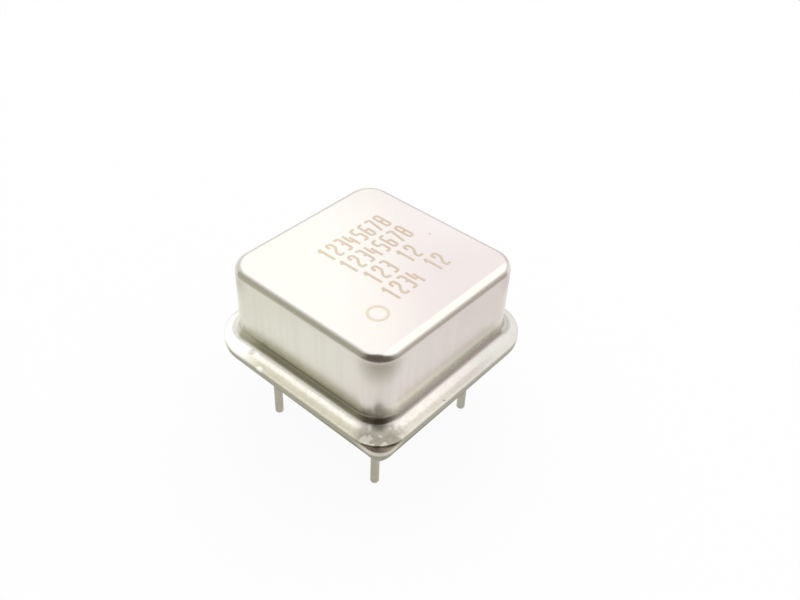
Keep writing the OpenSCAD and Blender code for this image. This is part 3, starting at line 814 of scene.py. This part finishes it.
# %% Substrate and film
alumina = worked_surface(
    "fired_alumina", "#F1EEE4", "#E5E0D2", 0.8, 0.06, 0.003, (0.5, 0.62), {"IOR": 1.76})[0]
dress(alumina, "substrate")

film, tree, shader, place, _ = worked_surface(
    "fired_silver_palladium_film", "#CDC9BF", "#B9B4A8", 0.5, 0.05, 0, (0.32, 0.45),
    {"Metallic": 1.0})
weave = add_node(tree, "ShaderNodeTexChecker", {}, {"Vector": place, "Scale": per_mm(0.05)})
emboss(tree, shader, weave.outputs["Fac"], 0.004, strength=0.3)
dress(film, "conductor_tracks")

solder = worked_surface(
    "bright_solder", "#CBCCCB", "#B4B6B6", 0.3, 0.12, 0.004, (0.12, 0.24), {"Metallic": 1.0})[0]
dress(solder, "solder_joint_1", "solder_joint_4", "solder_joint_5", "solder_joint_8",
      "capacitor_solder")

# %% [markdown]
# The die is polished silicon, whose oxide shows a blue-grey sheen in blocks: a pattern of
# bricks, each 0.06 by 0.03 mm, stands for its rows of circuit cells. It sits in silver-filled
# epoxy, and gold wires carry its signals down to the tracks.

# %% Die, epoxy and wires
silicon, tree, shader, place, tint = worked_surface(
    "polished_silicon", "#5A6478", "#454E63", 0.4, 0.05, 0.0005, (0.06, 0.12),
    {"Metallic": 0.6, "Coat Weight": 0.5, "Coat Roughness": 0.05})
cells = add_node(tree, "ShaderNodeTexBrick", {}, {
    "Vector": place, "Scale": per_mm(0.12), "Color1": linear("#5E6C86"),
    "Color2": linear("#47506B"), "Mortar": linear("#8C8F86"), "Mortar Size": 0.06})
tree.links.new(mix_colour(tree, 0.7, tint, cells.outputs["Color"]), shader.inputs["Base Color"])
dress(silicon, "oscillator_die")

epoxy = worked_surface(
    "silver_filled_epoxy", "#9A9C99", "#828481", 0.15, 0.04, 0.006, (0.38, 0.55),
    {"Metallic": 0.5})[0]
dress(epoxy, "die_attach", "left_adhesive", "right_adhesive")

gold = worked_surface(
    "drawn_gold_wire", "#EBC26A", "#D9AC52", 0.2, 0.03, 0.0005, (0.12, 0.2), {"Metallic": 1.0})[0]
dress(gold, "bond_wires")

# %% [markdown]
# The capacitor is a tan brick of fired titanate, slightly speckled, with tin-plated ends.

# %% Capacitor
titanate, tree, shader, place, tint = worked_surface(
    "fired_titanate", "#C2AC8C", "#AC9576", 0.3, 0.05, 0.003, (0.42, 0.55), {"IOR": 1.6})
specks = add_node(tree, "ShaderNodeTexVoronoi", {}, {"Vector": place, "Scale": per_mm(0.09)})
dark = ramp(tree, specks.outputs["Distance"], 0.2, 0.08, unit=1)
tree.links.new(wash(tree, tint, "#7D6A4E", dark, 0.35), shader.inputs["Base Color"])
dress(titanate, "bypass_capacitor")

plating = worked_surface(
    "tin_plated_end", "#CFCECA", "#B9B8B3", 0.25, 0.05, 0.003, (0.28, 0.4), {"Metallic": 1.0})[0]
dress(plating, "capacitor_ends")

# %% [markdown]
# The blank is a thin round of quartz, lapped and then etched, so it is clear with a faint
# frost. A thin gold film on each face is its electrode. Two strips of rolled phosphor bronze
# are bent to springs that hold it, and rolling leaves them with lines along their length.

# %% Crystal and clips
quartz = worked_surface(
    "etched_quartz", "#EDF3F1", "#DFE8E5", 1.5, 0.06, 0.001, (0.12, 0.24),
    {"Transmission Weight": 0.75, "IOR": 1.544})[0]
dress(quartz, "crystal_blank")

electrode = worked_surface(
    "evaporated_gold_film", "#E6CB86", "#D6B871", 1.0, 0.06, 0.0005, (0.16, 0.26),
    {"Metallic": 1.0})[0]
dress(electrode, "upper_electrode", "lower_electrode")

bronze, tree, shader, place, _ = worked_surface(
    "rolled_phosphor_bronze", "#C9B382", "#B59E6C", 0.6, 0.05, 0, (0.24, 0.34),
    {"Metallic": 1.0})
along = add_node(tree, "ShaderNodeMapping", {}, {"Vector": place, "Scale": (0.05, 1.0, 0.05)})
emboss(tree, shader, noise(tree, along.outputs["Vector"], 0.04, 2.0), 0.002, strength=0.6)
dress(bronze, "left_clip", "right_clip")

# %% [markdown]
# The studio is a white paper floor in a light grey room. The camera, and the metal too, see
# the paper nearly plain white, and it keeps a soft shadow under the can. The room shows only
# from a low view, and in the metal. Bright metal shows only what it reflects, so two things
# shape the picture: one large soft lamp behind the can, which the top mirrors, and a dark
# card on the camera's side, which draws the dark lines along the bends. The card shows only
# in reflections.

# %% Stage helpers
def stage_piece(bm, name, material):
    mesh = bpy.data.meshes.new(name)
    bm.to_mesh(mesh)
    bm.free()
    mesh.materials.append(material)
    obj = bpy.data.objects.new(name, mesh)
    bpy.context.scene.collection.objects.link(obj)
    return obj


def seen_share(tree, share):
    """share for rays from the camera, or that metal or glass sends on; 0 for soft light."""
    path = add_node(tree, "ShaderNodeLightPath").outputs
    seen = calc(tree, "MAXIMUM", path["Is Camera Ray"], path["Is Glossy Ray"])
    seen = calc(tree, "MAXIMUM", seen, path["Is Transmission Ray"])
    return calc(tree, "MULTIPLY", seen, share)


# %% Paper floor
FLOOR_HALF = 0.6  # this and the lamp's and card's distances are in metres
PAPER_GLOW = 0.92  # how much of the paper is plain white where it is seen directly

paper, tree, shader = new_material("white_paper", {
    "Base Color": linear("#FAFAF8"), "Roughness": 0.9})
emboss(tree, shader, noise(tree, object_place(tree), 0.5, 4.0), 0.02, strength=0.2)
glow = add_node(tree, "ShaderNodeEmission", {}, {"Strength": 1.0})
mixed = add_node(tree, "ShaderNodeMixShader", {}, {
    0: seen_share(tree, PAPER_GLOW), 1: shader.outputs["BSDF"], 2: glow.outputs["Emission"]})
output = next(n for n in tree.nodes if n.type == "OUTPUT_MATERIAL")
tree.links.new(mixed.outputs["Shader"], output.inputs["Surface"])

bm = bmesh.new()
bmesh.ops.create_grid(bm, x_segments=1, y_segments=1, size=FLOOR_HALF)
stage_piece(bm, "paper_floor", paper)
print("The paper is", 2 * FLOOR_HALF, "m wide")

# %% Room
ROOM_TONE = 0.8  # its light grey, as a linear value
ROOM_LIGHT = 0.85  # the part of that tone that lights matt surfaces; seen directly it is whole
world = bpy.data.worlds.new("pale_room")
bpy.context.scene.world = world
world.use_nodes = True
tree = world.node_tree
tree.nodes.clear()
level = calc(tree, "ADD", seen_share(tree, 1 - ROOM_LIGHT), ROOM_LIGHT)
sky = add_node(tree, "ShaderNodeBackground", {}, {
    "Color": (ROOM_TONE, ROOM_TONE, ROOM_TONE, 1.0), "Strength": level})
add_node(tree, "ShaderNodeOutputWorld", {}, {"Surface": sky.outputs["Background"]})
print("The room lights matt surfaces at", round(ROOM_TONE * ROOM_LIGHT, 2))

# %% Lamp
LAMP_AZIMUTH, LAMP_OUT, LAMP_UP = math.radians(100), 0.22, 0.25
LAMP_WIDE = 0.80
LAMP_LEVEL = 0.50  # how much it adds to the room where metal mirrors it

lamp_data = bpy.data.lights.new("soft_lamp", "AREA")
lamp_data.shape = "DISK"
lamp_data.size = LAMP_WIDE
lamp_data.energy = LAMP_LEVEL * math.pi * math.pi * (LAMP_WIDE / 2) ** 2
lamp = bpy.data.objects.new("soft_lamp", lamp_data)
lamp.location = towards(LAMP_AZIMUTH, 0) * LAMP_OUT + Vector((0, 0, LAMP_UP))
bpy.context.scene.collection.objects.link(lamp)
print("Lamp power", round(lamp_data.energy, 3), "W")

# %% [markdown]
# The card is made by spinning two joined edges round the can: a flat strip, which stands for
# the table beyond the sheet of paper, and a low arc. The arc's middle is pulled up to be tall
# behind the camera, and is darkest there, as a person at a table with a camera would be.
# Towards both ends it is low and pale, like the walls of a room. The strip is as white as
# the paper near the can, and fades to the card's tone further out.

# %% Dark card's shape
CARD_R = 0.25
CARD_FRONT = math.radians(-140.5)  # the heading of its middle, from +X towards +Y
CARD_HALF_SWEEP, CARD_HALF_PEAK = math.radians(105), math.radians(75)
CARD_LOW, CARD_PEAK = math.radians(0.5), math.radians(68)
CARD_LEFT, CARD_RIGHT = math.radians(31), math.radians(14)
TABLE_START = 0.015
CARD_CLEAR = 0.5 * MM  # the strip lies this much above the paper
CARD_STEPS = 60


def card_shape():
    """The strip and the low arc, spun, and then the arc's upper edge pulled to its heights."""
    bm = bmesh.new()
    start = CARD_FRONT + CARD_HALF_SWEEP
    section = [(TABLE_START, 0), (CARD_R, CARD_LOW), (CARD_R, CARD_LEFT)]
    ends = [bm.verts.new((r * math.cos(start) * math.cos(e), r * math.sin(start) * math.cos(e),
                          r * math.sin(e) + CARD_CLEAR)) for r, e in section]
    edges = [bm.edges.new(pair) for pair in zip(ends, ends[1:])]
    bmesh.ops.spin(bm, geom=ends + edges, axis=(0, 0, 1), cent=(0, 0, 0),
                   angle=-2 * CARD_HALF_SWEEP, steps=CARD_STEPS)
    upper = [v for v in bm.verts if v.co.z > CARD_R * math.sin(CARD_LEFT) / 2]
    for v in upper:
        turn = math.remainder(math.atan2(v.co.y, v.co.x) - CARD_FRONT, 2 * math.pi)
        low = CARD_LEFT if turn < 0 else CARD_RIGHT
        lift = max(0.0, 1 - abs(turn) / CARD_HALF_PEAK)
        high = low + (CARD_PEAK - low) * lift * lift * (3 - 2 * lift)
        flat = CARD_R * math.cos(high) / math.hypot(v.co.x, v.co.y)
        v.co = Vector((v.co.x * flat, v.co.y * flat, CARD_R * math.sin(high)))
    return bm


# %% Dark card's colour
card_paint, tree, shader = new_material("dark_card", {"Roughness": 1.0})
flat_place = vector_calc(tree, "MULTIPLY", object_place(tree), (1, 1, 0))
to_the_right = towards(CAMERA_AZIMUTH + math.pi / 2, 0)
side = vector_calc(tree, "DOT_PRODUCT", vector_calc(tree, "NORMALIZE", flat_place), to_the_right)
colour = mix_colour(tree, ramp(tree, side, 0.55, 1.0, unit=1), "#6A625A", "#C2BDB6")
colour = mix_colour(tree, ramp(tree, side, -0.55, -1.0, unit=1), colour, "#C8C7B8")
away = vector_calc(tree, "LENGTH", flat_place)
colour = mix_colour(tree, ramp(tree, away, 27, 20), colour, "#FAFAF8")
tree.links.new(colour, shader.inputs["Base Color"])
card = stage_piece(card_shape(), "dark_card", card_paint)
card.visible_camera = False
card.visible_diffuse = False
card.visible_shadow = False
print("The card has", len(card.data.polygons), "faces")
